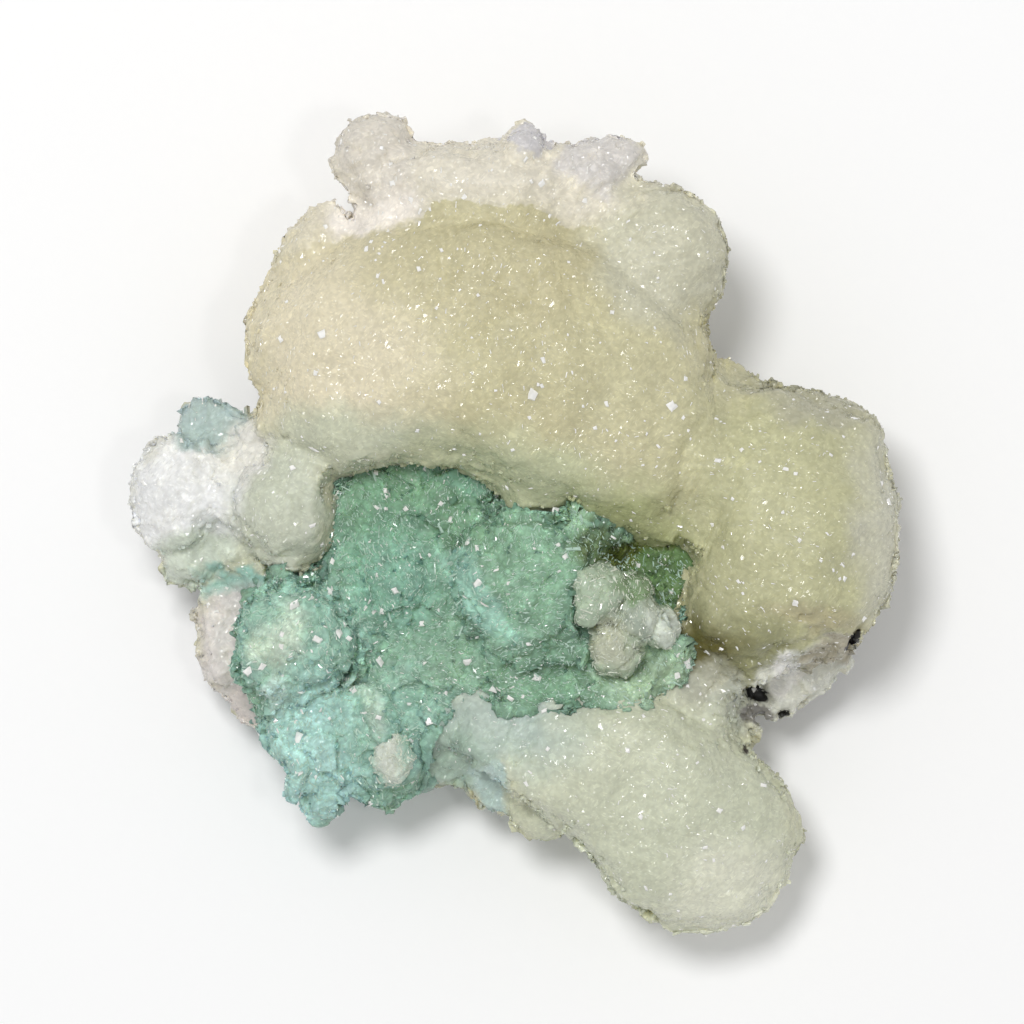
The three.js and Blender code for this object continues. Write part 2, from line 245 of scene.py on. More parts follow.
def tree_of(meshes):
    """One search tree over several meshes."""
    corners = []
    faces = []
    start = 0
    for points, triangles in meshes:
        corners.append(points)
        faces.append(triangles + start)
        start += len(points)
    return BVHTree.FromPolygons(np.concatenate(corners).tolist(), np.concatenate(faces).tolist())


def ring(elevation, count):
    """Directions spread evenly round the horizon at one elevation."""
    e = math.radians(elevation)
    turns = [2 * math.pi * k / count for k in range(count)]
    return [Vector((math.cos(e) * math.cos(t), math.cos(e) * math.sin(t), math.sin(e))) for t in turns]


SKY = ring(20, 8) + ring(55, 6)
UP = Vector((0, 0, 1))
DOWN = Vector((0, 0, -1))
# How far off the surface a look at the sky starts, and how far the skin may turn away from what it looks at
CLEAR = 0.5
TURNED_FROM_UP = -0.1
TURNED_FROM_SKY = -0.2

everything = tree_of(bases.values())

# A level grid over the specimen: the size of a cell, its low corner, its cells and a height above everything
GRID = 0.5
GRID_LOW = np.array([-64.0, -68.0])
GRID_CELLS = (256, 272)
OVERHEAD = 90.0
# The green alone: how far its hidden parts swell, how far under the top its filled gaps reach, and how much
# of its waviness is pressed flat
GAP_PRESS = 2.2
UNDER_GAP = 4.0
FLATTENED = 0.5
# How far the level that it is pressed towards is blurred, in cells
BLUR = 5
# How much lower the green is filled under what covers it
COVERED_DEPTH = 10.0
# South of this line the cream beside the green is filled too
FILLED_BELOW = -6.0
# The values over which a corner counts as well inside a known part, in a gap, level, seen from above and
# beside the green
SURE = 0.99
IN_GAP = 0.3
LEVEL = 0.2
SEEN = 0.6
BY_GREEN = 0.1

# How wide a gap may be to be filled, how far its bottom stays under the level round it, and its depth
FILL = {
    "basalt_slab": (3.5, 0.4, 0.0),
    "stilbite_sheaves": (4.5, 0.15, 8.0),
    "green_crust": (4.5, 0.5, 14.0),
    "nodule_cluster": (3.5, 0.4, 3.0),
    "lone_nodule": (3.5, 0.4, 3.0),
}


def from_above(nodes):
    """The height of the uppermost surface over each cell of a level grid, and the node that it belongs to."""
    ends = np.cumsum([len(bases[node][1]) for node in nodes])
    tree = tree_of([bases[node] for node in nodes])
    height = np.zeros(GRID_CELLS)
    owner = np.full(GRID_CELLS, -1)
    for i in range(GRID_CELLS[0]):
        for j in range(GRID_CELLS[1]):
            x, y = GRID_LOW + GRID * np.array([i, j])
            place, _, triangle, _ = tree.ray_cast(Vector((x, y, OVERHEAD)), DOWN)
            if place:
                height[i, j] = place.z
                owner[i, j] = np.searchsorted(ends, triangle, side="right")
    return height, owner


def disc_filter(field, radius, pick):
    """The greatest or least value of a field within a radius, given in cells."""
    result = field.copy()
    for i in range(-radius, radius + 1):
        for j in range(-radius, radius + 1):
            if i * i + j * j <= radius * radius:
                result = pick(result, np.roll(field, (i, j), (0, 1)))
    return result


def spread_out(field, known, rounds):
    """Carries the known values of a field out over their border, one cell a round."""
    for _ in range(rounds):
        total = np.zeros_like(field)
        count = np.zeros_like(field)
        for shift in ((1, 0), (-1, 0), (0, 1), (0, -1)):
            total += np.roll(np.where(known, field, 0), shift, (0, 1))
            count += np.roll(known, shift, (0, 1))
        grown = ~known & (count > 0)
        field = np.where(grown, total / np.maximum(count, 1), field)
        known = known | grown
    return field, known


def blurred(field, known, radius):
    """The mean of a field's known values in the square round each cell, taken twice over."""
    total = np.where(known, field, 0.0)
    count = known.astype(float)
    for _ in range(2):
        for axis in (0, 1):
            total = sum(np.roll(total, shift, axis) for shift in range(-radius, radius + 1))
            count = sum(np.roll(count, shift, axis) for shift in range(-radius, radius + 1))
    return total / np.maximum(count, 1)


def sampled(field, corners):
    """A field's value under each corner, blended from the four cells round it."""
    spot = (corners[:, :2] - GRID_LOW) / GRID
    cell = np.clip(np.floor(spot).astype(int), 0, np.array(GRID_CELLS) - 2)
    part = spot - cell
    i, j = cell.T
    u, v = part.T
    return (
        field[i, j] * (1 - u) * (1 - v) + field[i + 1, j] * u * (1 - v)
        + field[i, j + 1] * (1 - u) * v + field[i + 1, j + 1] * u * v
    )


def filled(node, corners, normal, seen):
    """Lifts the bottoms of narrow gaps, which crystals have grown over, almost to the level round them."""
    level, known, gap, upper, own = fill_levels[node]
    width, depth, deepest = FILL[node]
    target = sampled(level, corners) - depth
    sure = sampled(known.astype(float), corners) > SURE
    lift = target - corners[:, 2]
    if node == "green_crust":
        covered = 1 - sampled(own.astype(float), corners)
        near_top = corners[:, 2] > sampled(upper, corners) - UNDER_GAP - COVERED_DEPTH * covered
        kept = (normal[:, 2] > LEVEL) | (near_top & (sampled(gap, corners) > IN_GAP))
    else:
        kept = seen > SEEN
    lift[~sure | ~kept | (lift < 0) | (lift > deepest)] = 0
    if node == "stilbite_sheaves":
        lift[(sampled(by_the_green, corners) > BY_GREEN) & (corners[:, 1] > FILLED_BELOW)] = 0
    raised = corners.copy()
    raised[:, 2] += lift
    if node == "green_crust":
        soft = sampled(blurred(level, own, BLUR), corners)
        flat = FLATTENED * (soft - raised[:, 2])
        raised[:, 2] += np.where(near_top & sure, flat, 0)
    return raised


def open_share(corners, normal):
    """Whether each point is seen from straight above, and the share of the sky that it is open to."""
    above = np.zeros(len(corners), bool)
    sky = np.zeros(len(corners))
    starts = corners + normal * CLEAR
    for i, start in enumerate(starts):
        origin = Vector(start)
        above[i] = normal[i, 2] > TURNED_FROM_UP and everything.ray_cast(origin, UP)[0] is None
        seen = 0
        for way in SKY:
            if way.dot(Vector(normal[i])) > TURNED_FROM_SKY and everything.ray_cast(origin, way)[0] is None:
                seen += 1
        sky[i] = seen / len(SKY)
    return above, sky


def refined(corners, faces, extra, wanted, longest):
    """Halves the edges of the wanted triangles until they are short enough. Their neighbours are cut to fit.
    `extra` holds further values at the corners, and `wanted` picks triangles by those."""
    while True:
        edges = np.sort(np.concatenate([faces[:, [0, 1]], faces[:, [1, 2]], faces[:, [2, 0]]]), axis=1)
        edges, which = np.unique(edges, axis=0, return_inverse=True)
        which = which.reshape(3, -1).T
        length = np.linalg.norm(corners[edges[:, 0]] - corners[edges[:, 1]], axis=1)
        ask = np.zeros(len(edges), bool)
        ask[which[wanted(extra[faces].mean(axis=1))].ravel()] = True
        ask &= length > longest
        if not ask.any():
            return corners, faces, extra
        fresh = np.full(len(edges), -1)
        fresh[ask] = len(corners) + np.arange(ask.sum())
        corners = np.concatenate([corners, corners[edges[ask]].mean(axis=1)])
        extra = np.concatenate([extra, extra[edges[ask]].mean(axis=1)])
        faces = cut_to_fit(faces, fresh[which])


def cut_to_fit(faces, middle):
    """New triangles, given the fresh corner on each edge of each triangle, or -1 where there is none."""
    marks = (middle >= 0).sum(axis=1)
    parts = [faces[marks == 0]]

    def cut(marked, *triangles):
        for triangle in triangles:
            parts.append(np.stack(triangle, axis=1)[marked])

    for first in range(3):
        a, b, c = (faces[:, (first + k) % 3] for k in range(3))
        ab, bc, ca = (middle[:, (first + k) % 3] for k in range(3))
        cut((marks == 1) & (ab >= 0), (a, ab, c), (ab, b, c))
        cut((marks == 2) & (ca < 0), (ab, b, bc), (a, ab, bc), (a, bc, c))
        if first == 0:
            cut(marks == 3, (ab, bc, ca), (a, ab, ca), (ab, b, bc), (ca, bc, c))
    return np.concatenate(parts)


# Places where the cream is coarse: middle x and y, radius, and the height of its blocks
ROUGH = [
    (-50, 4, 11, 0.22),
    (-45, 15, 7, 0.35),
    (-43, -18, 11, 0.4),
    (-21.5, 55, 6, 0.35),
    (12, 54.5, 7, 0.35),
    (43, -23, 11, 0.45),
    (30, -28, 7, 0.2),
    (-5, -38, 7, 0.5),
]
# Windows in the crust over the dark rock: middle x and y, half length, half width, turn and depth
WINDOWS = [
    (50.2, -17.0, 2.0, 0.7, 60, 1.2),
    (36.1, -25.4, 1.9, 1.1, -30, 1.4),
    (40.1, -28.4, 0.9, 0.5, 30, 0.8),
]
# Soft folds that rise from the notches in the cream's lower edge: middle x, foot and top y, width and depth
GROOVES = [
    (-3.5, 4, 20, 2.2, 0.9),
    (8, 2, 16, 2.0, 0.8),
    (-20, 8, 18, 3.0, 0.4),
    (2, 0, 14, 1.6, 0.35),
    (16, -2, 12, 1.8, 0.5),
]
# Knobs on the cream: middle x and y, half length and width, turn, and how far each stands out
KNOBS = [
    (0.8, 56.6, 2.9, 2.9, 0, 1.6),
    (12.6, 54.2, 6.3, 3.5, 10, 1.3),
    (-21.5, 54.5, 6.3, 6.3, 0, 0.6),
    (31.5, -27.5, 3.6, 4.4, -30, 1.4),
    (35.6, -32, 2.2, 2.6, 0, 0.9),
    (-49, -4.5, 4.5, 4, 0, 1.0),
    (-40, 14.5, 2.2, 2.2, 0, 0.8),
    (-40, 9, 2.4, 3, 0, 0.8),
]
# The lumps of the green at the lower left, in the same way
LUMPS = [
    (-33.2, -17.6, 8.2, 7.8, 0, 2.4),
    (-36.4, -24.2, 2.2, 2.8, -20, 1.2),
    (-20.6, -28.5, 2.6, 6.5, 18, 1.6),
]
# The raised block of the green and the ledge under it: outline, and how far each stands out
BLOCK_OUTLINE = [
    (-9.9, -5.1), (-8.4, -2.9), (-5.7, -0.9), (-2, 0.2), (2.6, 0.3), (6.3, -0.6), (9.5, -2.9), (9.5, -6),
    (8, -9.6), (8.2, -13), (10.5, -18.3), (8.6, -19.4), (3.3, -19.4), (-0.9, -18.9), (-3.5, -17.1),
    (-5.7, -13.4), (-8.3, -9.6),
]
LEDGE_OUTLINE = [
    (-5.5, -17), (-3, -23), (0, -26.6), (5, -27.2), (10, -25.5), (13.5, -22), (12, -17), (4, -18),
]
NODULE_BED = [(8.5, -7.5), (14, -6.5), (21, -11), (23, -16), (19, -22), (13, -23), (9.5, -17)]
TERRACES = [(BLOCK_OUTLINE, 1.7), (LEDGE_OUTLINE, 0.9), (NODULE_BED, -1.5)]
# The crest along the left and lower edge of the raised block
CREST = [(-9.0, -5.5), (-7.4, -9.6), (-4.8, -13.4), (-2.6, -16.6), (0, -18.2), (4, -18.6), (8.6, -18.6)]
CREST_HEIGHT = 0.9
CREST_WIDTH = 1.2
# How wide a terrace's step is, and the share of its height that it loses within so far of its edge
STEP_WIDTH = 1.2
STEP_LOSS = 0.3
LOSS_WIDTH = 5.0

# The relief of each skin: the noise, the size of its swellings or facets, its height and its seed
SIDE_RELIEF = [(blocks, 3.2, 0.45, 71), (blocks, 1.3, 0.15, 79)]
NODULE_RELIEF = [(waves, 3.4, 0.6, 61), (blocks, 2.2, 0.4, 62), (blocks, 1.0, 0.15, 87)]
RELIEF = {
    "basalt_slab": [(blocks, 9.0, 0.8, 41), (blocks, 3.0, 0.35, 50)],
    "stilbite_sheaves": [(waves, 7.0, 0.5, 11), (waves, 2.6, 0.2, 12), (waves, 0.9, 0.06, 14)],
    "green_crust": [
        (waves, 6.5, 0.7, 21), (blocks, 4.6, 0.9, 22), (blocks, 2.1, 0.4, 30), (blocks, 1.0, 0.16, 38),
    ],
    "nodule_cluster": NODULE_RELIEF,
    "lone_nodule": NODULE_RELIEF,
}
# How far each skin stands out all over, and the height of its finest grain
SWELL = {"basalt_slab": -0.5, "nodule_cluster": 1.0, "lone_nodule": 0.1}
GRAIN = {"stilbite_sheaves": 0.05, "green_crust": 0.04, "nodule_cluster": 0.04, "lone_nodule": 0.04}
# The striae of the cream: their number round a root, their length and depth of a wave, their height and seed
STRIAE = (22, 9.0, 12.0, 0.2, 13)
ROUGH_BLOCK = (1.9, 17)
# How the edges of the green's terraces and lumps wander
TERRACE_EDGE = [(waves, 1.8, 0.7, 46)]
LUMP_EDGE = [(waves, 2.0, 0.12, 47)]
# The heights under which the rock's foot stays flat and the cream has no folds
FOOT = 1.2
FOLDS_ABOVE = 22.0


def depth_inside(corners, outline):
    """How far inside an outline each corner is, seen from above. It is less than nothing outside."""
    x, y = corners[:, 0], corners[:, 1]
    nearest = np.full(len(corners), FAR)
    inside = np.zeros(len(corners), bool)
    for (x0, y0), (x1, y1) in zip(outline, outline[1:] + outline[:1]):
        nearest = np.minimum(nearest, line_gap(corners, x0, y0, x1, y1))
        if y0 != y1:
            inside ^= ((y0 > y) != (y1 > y)) & (x < x0 + (y - y0) * (x1 - x0) / (y1 - y0))
    return np.where(inside, nearest, -nearest)


def line_gap(corners, x0, y0, x1, y1):
    """How far each corner is from a line between two places, seen from above."""
    way = np.array([x1 - x0, y1 - y0])
    away = corners[:, :2] - (x0, y0)
    share = np.clip(away @ way / (way @ way), 0, 1)
    return np.linalg.norm(away - share[:, None] * way, axis=1)


def ridge(corners, line, width):
    """A height from 0 to 1 that falls off on both sides of a line seen from above."""
    nearest = np.full(len(corners), FAR)
    for (x0, y0), (x1, y1) in zip(line, line[1:]):
        nearest = np.minimum(nearest, line_gap(corners, x0, y0, x1, y1))
    return np.exp(-((nearest / width) ** 2))


def ellipse_reach(corners, x, y, half_length, half_width, turn):
    """How far out each corner is from an ellipse's middle, 1 being its edge."""
    c, s = math.cos(math.radians(turn)), math.sin(math.radians(turn))
    dx, dy = corners[:, 0] - x, corners[:, 1] - y
    return np.hypot((dx * c + dy * s) / half_length, (dy * c - dx * s) / half_width)


def relief(corners, rows):
    """The summed heights of several noises at each corner."""
    return sum(height * noise(corners / size, seed) for noise, size, height, seed in rows)


def cream_shapes(corners, normal):
    """The steps of the cream's sides, its striae, coarse places, knobs, windows and folds."""
    side = np.clip(1.3 - np.abs(normal[:, 2]) / 0.5, 0, 1)
    rise = side * relief(corners, SIDE_RELIEF)
    count, length, depth, height, seed = STRIAE
    direction, distance, bearing = growth_of(corners)
    striae = np.stack([bearing * count, distance / length, corners[:, 2] / depth], axis=1)
    rise += height * waves(striae, seed)
    block, seed = ROUGH_BLOCK
    for x, y, radius, roughness in ROUGH:
        near = np.clip(1.4 - np.hypot(corners[:, 0] - x, corners[:, 1] - y) / radius, 0, 1)
        rise += roughness * np.sqrt(near) * blocks(corners / block, seed)
    for x, y, half_length, half_width, turn, height in KNOBS:
        reach = ellipse_reach(corners, x, y, half_length, half_width, turn)
        rise += height * dome(reach) * (normal[:, 2] > -0.2)
    for x, y, half_length, half_width, turn, depth in WINDOWS:
        rise -= depth * np.clip(1.6 - ellipse_reach(corners, x, y, half_length, half_width, turn), 0, 1)
    for x, foot, top, width, depth in GROOVES:
        height = (corners[:, 1] - foot) / (top - foot)
        fade = np.clip(height * 6 + 1, 0, 1) * np.clip(1 - height, 0, 1)
        rise -= depth * fade * np.exp(-(((corners[:, 0] - x) / width) ** 2)) * (corners[:, 2] > FOLDS_ABOVE)
    return rise


def green_shapes(corners, normal):
    """The terraces, the crest and the lumps of the green."""
    rise = CREST_HEIGHT * ridge(corners, CREST, CREST_WIDTH)
    for outline, height in TERRACES:
        depth = depth_inside(corners, outline) + relief(corners, TERRACE_EDGE)
        step = height * np.clip(depth / STEP_WIDTH + 0.5, 0, 1)
        rise += step - STEP_LOSS * height * np.clip(depth / LOSS_WIDTH, 0, 1)
    for x, y, half_length, half_width, turn, height in LUMPS:
        reach = ellipse_reach(corners, x, y, half_length, half_width, turn)
        rise += height * dome(reach + relief(corners, LUMP_EDGE)) * (normal[:, 2] > 0)
    return rise


def dome(reach):
    """The height of a unit dome at each distance from its middle, 1 being its edge."""
    return np.sqrt(np.clip(1 - reach**2, 0, 1))


def skin(node, corners, faces):
    """Gives a base its swellings, blocks and grain, outwards along its normals."""
    normal = normals_of(corners, faces)
    rise = SWELL.get(node, 0) + relief(corners, RELIEF[node])
    if node in GRAIN:
        rise += GRAIN[node] * (random.random(len(corners)) * 2 - 1)
    if node == "stilbite_sheaves":
        rise += cream_shapes(corners, normal)
    elif node == "green_crust":
        rise += green_shapes(corners, normal)
    elif node == "basalt_slab":
        rise[corners[:, 2] < FOOT] = 0
    return corners + normal * rise[:, None]


ROCK = ["basalt_slab", "stilbite_sheaves", "green_crust"]
# In cells: how far a gap's mark is spread, how far a node's own cells are joined up, how far its level is
# carried outwards, and how near the green the cream counts as beside it
GAP_MARK = 3
JOINED = 5
CARRIED = 5
BESIDE = 5

fill_levels = {}
for nodes in (ROCK, list(bases)):
    upper, owner = from_above(nodes)
    for index, node in enumerate(nodes):
        if node in fill_levels:
            continue
        reach = round(FILL[node][0] / GRID)
        closed = disc_filter(disc_filter(upper, reach, np.maximum), reach, np.minimum)
        gap = disc_filter(closed - upper, GAP_MARK, np.maximum)
        own = disc_filter(disc_filter(owner == index, JOINED, np.logical_or), JOINED, np.logical_and)
        if node == "green_crust":
            open_gaps = (closed, closed - upper, owner == index)
            by_the_green = disc_filter((owner == index).astype(float), BESIDE, np.maximum)
        fill_levels[node] = (*spread_out(closed, own, CARRIED), gap, upper, owner == index)

# The part of the green that is bridged: its lowest and highest x and y, and its lowest level
BRIDGED = (-42, -45, -8, -5)
LOWEST_BRIDGE = 12.0
# The least depth of a gap that is bridged, how near the green it is and how far the sheet runs on under the
# edges, both in cells, and how far the sheet is sunk in the gap and under its edges
DEEP_GAP = 1.0
NEAR_GREEN = 7
RUN_ON = 2
SUNK_IN_GAP = 0.7
SUNK_UNDER_EDGE = 1.4


def bridge(closed, gap, own):
    """A sheet over the deep gaps beside the green that its crust doesn't reach up into."""
    x = GRID_LOW[0] + GRID * np.arange(GRID_CELLS[0])[:, None]
    y = GRID_LOW[1] + GRID * np.arange(GRID_CELLS[1])[None]
    deep = (gap > DEEP_GAP) & ~own & disc_filter(own, NEAR_GREEN, np.logical_or)
    deep &= (x > BRIDGED[0]) & (y > BRIDGED[1]) & (x < BRIDGED[2]) & (y < BRIDGED[3])
    wide = disc_filter(deep, RUN_ON, np.logical_or) & (closed > LOWEST_BRIDGE)
    height = closed - np.where(deep, SUNK_IN_GAP, SUNK_UNDER_EDGE)
    number = np.cumsum(wide.ravel()).reshape(wide.shape) - 1
    i, j = np.nonzero(wide)
    corners = np.stack([GRID_LOW[0] + GRID * i, GRID_LOW[1] + GRID * j, height[i, j]], axis=1)
    whole = wide[:-1, :-1] & wide[1:, :-1] & wide[1:, 1:] & wide[:-1, 1:]
    i, j = np.nonzero(whole)
    a, b, c, d = number[i, j], number[i + 1, j], number[i + 1, j + 1], number[i, j + 1]
    faces = np.concatenate([np.stack([a, b, c], axis=1), np.stack([a, c, d], axis=1)])
    used, faces = np.unique(faces, return_inverse=True)
    faces = faces.reshape(-1, 3)
    return skin("green_crust", rounded(corners[used], faces, SOFTENED), faces), faces


# The share of a triangle's corners that are seen from above, over which the triangle is cut finer
SEEN_SHARE = 0.3
# Rounds of smoothing where the green's hidden parts swell, over the bridge and after the gaps are filled
SOFTENED = 2
SMOOTHED = 3


def worth_cutting(values):
    """Whether each triangle is seen from above, given the mean of its corners' views."""
    return values[:, 0] > SEEN_SHARE


skins = {}
views = {}
for node, (corners, faces) in bases.items():
    seen = np.stack(open_share(corners, normals_of(corners, faces)), axis=1).astype(float)
    if node == "green_crust":
        hidden = (1 - seen[:, 1]) ** 2
        corners = rounded(corners + GAP_PRESS * hidden[:, None] * normals_of(corners, faces), faces, SOFTENED)
    corners, faces, seen = refined(corners, faces, seen, worth_cutting, MESHING[node][2])
    if node != "basalt_slab":
        corners = rounded(filled(node, corners, normals_of(corners, faces), seen[:, 0]), faces, SMOOTHED)
    skins[node] = (skin(node, corners, faces), faces)
    views[node] = (seen[:, 0] > 0.5, seen[:, 1])
    print(node, len(faces), "triangles")


# Crystals

# The corners and triangles of crystals whose foot is about one unit wide: a low roof, a block and a plate
ROOF = (
    np.array([
        [-0.5, -0.5, 0], [0.5, -0.5, 0], [0.5, 0.5, 0], [-0.5, 0.5, 0],
        [-0.3, 0.05, 1], [0.28, -0.05, 0.9],
    ]),
    np.array([[0, 1, 5], [0, 5, 4], [2, 3, 4], [2, 4, 5], [1, 2, 5], [3, 0, 4]]),
)
BLOCK = (
    np.array([
        [-0.5, -0.5, 0], [0.5, -0.5, 0], [0.5, 0.5, 0], [-0.5, 0.5, 0],
        [-0.4, -0.42, 0.9], [0.42, -0.38, 1], [0.38, 0.4, 1], [-0.42, 0.42, 0.9],
    ]),
    np.array([
        [0, 1, 5], [0, 5, 4], [1, 2, 6], [1, 6, 5], [2, 3, 7], [2, 7, 6], [3, 0, 4], [3, 4, 7],
        [4, 5, 6], [4, 6, 7],
    ]),
)
PLATE = (
    np.array([
        [-0.6, -0.5, 0], [0.5, -0.62, 0], [0.62, 0.45, 0], [-0.4, 0.6, 0],
        [-0.3, -0.22, 1], [0.26, -0.3, 1], [0.32, 0.2, 1], [-0.2, 0.3, 1],
    ]),
    BLOCK[1],
)


def scattered(corners, faces, weight, count):
    """Random places on the skin, as many to the square millimetre as its corners' weight asks."""
    a, b, c = (corners[faces[:, k]] for k in range(3))
    area = np.linalg.norm(np.cross(b - a, c - a), axis=1) / 2
    share = area * weight[faces].mean(axis=1)
    chosen = random.choice(len(faces), size=count, p=share / share.sum())
    u, v = random.random((2, count))
    past = u + v > 1
    u[past] = 1 - u[past]
    v[past] = 1 - v[past]
    place = a[chosen] + u[:, None] * (b - a)[chosen] + v[:, None] * (c - a)[chosen]
    return place, chosen


# How much of a crystal's height is sunk in the skin, and how far its direction strays from its blade's
SUNK = 0.35
STRAY = 0.45


def crystals(name, template, place, normal, along, size, tilt):
    """One mesh of many crystals: each stands on its place, leans a little and lies along its blade."""
    count = len(place)
    up = normal + random.normal(0, tilt, (count, 3))
    up /= np.linalg.norm(up, axis=1, keepdims=True)
    along = along - up * np.einsum("ij,ij->i", along, up)[:, None]
    along /= np.maximum(np.linalg.norm(along, axis=1, keepdims=True), TINY)
    across = np.cross(up, along)
    shape, triangles = template
    local = shape[None] * size[:, None, :]
    local[..., 2] -= SUNK * size[:, None, 2]
    turned = (
        local[..., 0:1] * along[:, None] + local[..., 1:2] * across[:, None] + local[..., 2:3] * up[:, None]
    )
    corners = (turned + place[:, None]).reshape(-1, 3)
    faces = (triangles[None] + np.arange(count)[:, None, None] * len(shape)).reshape(-1, 3)
    return object_of(name, corners, faces, flat=True)


def spread(node, count, side_weight):
    """Places, normals and growth directions for crystals on a skin, thick where it is seen from above."""
    corners, faces = skins[node]
    normal = normals_of(corners, faces)
    above, sky = views[node]
    weight = np.where(above, 1.0, side_weight * sky)
    place, chosen = scattered(corners, faces, weight, count)
    up = normal[faces[chosen]].mean(axis=1)
    direction, _, _ = growth_of(place)
    wander = random.normal(0, STRAY, (count, 3))
    return place, up, direction + wander


# Materials

def srgb(red, green, blue):
    """A colour as the eye reads it, from 0 to 255, in the linear values that a shader takes."""
    linear = []
    for value in (red, green, blue):
        v = value / 255
        linear.append(v / 12.92 if v < 0.04045 else ((v + 0.055) / 1.055) ** 2.4)
    return (*linear, 1.0)


class Nodes:
    """Short calls for building a material's nodes."""

    def __init__(self, name):
        self.material = bpy.data.materials.new(name)
        self.material.use_nodes = True
        self.tree = self.material.node_tree
        self.tree.nodes.clear()
        self.output = self.add("ShaderNodeOutputMaterial")
        self.shader = self.add("ShaderNodeBsdfPrincipled")
        self.feed(self.output.inputs["Surface"], self.shader.outputs["BSDF"])
        self.place = self.add("ShaderNodeTexCoord").outputs["Object"]

    def add(self, kind, **settings):
        """A new node with some of its settings."""
        node = self.tree.nodes.new(kind)
        for key, value in settings.items():
            setattr(node, key, value)
        return node

    def feed(self, socket, value):
        """Sets a socket to a constant, or links another node's output to it."""
        if isinstance(value, bpy.types.NodeSocket):
            self.tree.links.new(value, socket)
        else:
            socket.default_value = value

    def settle(self, node, values):
        """Feeds some of a node's inputs by their names or numbers."""
        for key, value in values.items():
            self.feed(node.inputs[key], value)

    def noise(self, size_mm, detail=2.0, source=None, output="Fac"):
        """Soft noise whose swellings are about this size."""
        node = self.add("ShaderNodeTexNoise")
        self.settle(node, {"Scale": 1 / (size_mm * MM), "Detail": detail, "Vector": source or self.place})
        return node.outputs[output]

    def cells(self, size_mm, source):
        """A colour of its own for each cell of a foam."""
        node = self.add("ShaderNodeTexVoronoi")
        self.settle(node, {"Scale": 1 / (size_mm * MM), "Vector": source})
        return node.outputs["Color"]

    def vector(self, operation, *values):
        """The result of some vector arithmetic."""
        node = self.add("ShaderNodeVectorMath", operation=operation)
        for socket, value in zip(node.inputs, values):
            self.feed(socket, value)
        return node.outputs["Value" if operation == "LENGTH" else "Vector"]

    def mapped(self, source, middle, turns, size):
        """Each place as seen from a shape with its own middle, turns and size."""
        node = self.add("ShaderNodeMapping", vector_type="TEXTURE")
        self.settle(node, {"Vector": source, "Location": middle, "Rotation": turns, "Scale": size})
        return node.outputs[0]

    def channel(self, colour, index):
        """One of a colour's three values."""
        node = self.add("ShaderNodeSeparateColor")
        self.feed(node.inputs[0], colour)
        return node.outputs[index]

    def scaled(self, colour, amount):
        """A colour made lighter or darker by an amount."""
        shade = self.add("ShaderNodeVectorMath", operation="SCALE")
        self.feed(shade.inputs[0], colour)
        self.feed(shade.inputs["Scale"], amount)
        return shade.outputs[0]

    def ramp(self, source, low, high, to_low=0.0, to_high=1.0):
        """A value carried smoothly from one range to another."""
        node = self.add("ShaderNodeMapRange", interpolation_type="SMOOTHSTEP")
        self.settle(node, {"Value": source, "From Min": low, "From Max": high})
        self.settle(node, {"To Min": to_low, "To Max": to_high})
        return node.outputs["Result"]

    def mix(self, factor, first, second):
        """The first colour, or the second where the factor is 1."""
        node = self.add("ShaderNodeMix", data_type="RGBA")
        for index, value in ((0, factor), (6, first), (7, second)):
            self.feed(node.inputs[index], value)
        return node.outputs[2]


# How far up and down from the skin a colour zone and a small mark reach
ALL_HEIGHTS = 1e5
SPOT_HEIGHT = 4.5
cream_level = fill_levels["stilbite_sheaves"][0]


def wandering(nodes, place, size_mm, reach_mm):
    """Each place moved to and fro by noise, so that an edge drawn through it wanders."""
    wander = nodes.noise(size_mm, 1.0, place, "Color")
    moved = nodes.vector("SUBTRACT", place, (2 * reach_mm * MM,) * 3)
    return nodes.vector("MULTIPLY_ADD", wander, (4 * reach_mm * MM,) * 3, moved)


def zoned(nodes, place, colour, zones, half_height=ALL_HEIGHTS):
    """Lays each zone's colour over the last one inside a soft ellipse, so far up and down from the skin."""
    for x, y, rx, ry, turn, soft, tint in zones:
        z = float(sampled(cream_level, np.array([[x, y, 0.0]]))[0])
        size = (rx * MM, ry * MM, half_height * MM)
        if turn:
            fit = nodes.mapped(place, (x * MM, y * MM, z * MM), (0, 0, math.radians(turn)), size)
        else:
            shrink = [1 / length for length in size]
            fit = nodes.vector("MULTIPLY_ADD", place, shrink, (-x / rx, -y / ry, -z / half_height))
        inside = nodes.ramp(nodes.vector("LENGTH", fit), 1 + soft, 1 - soft)
        colour = nodes.mix(inside, colour, srgb(*tint))
    return colour


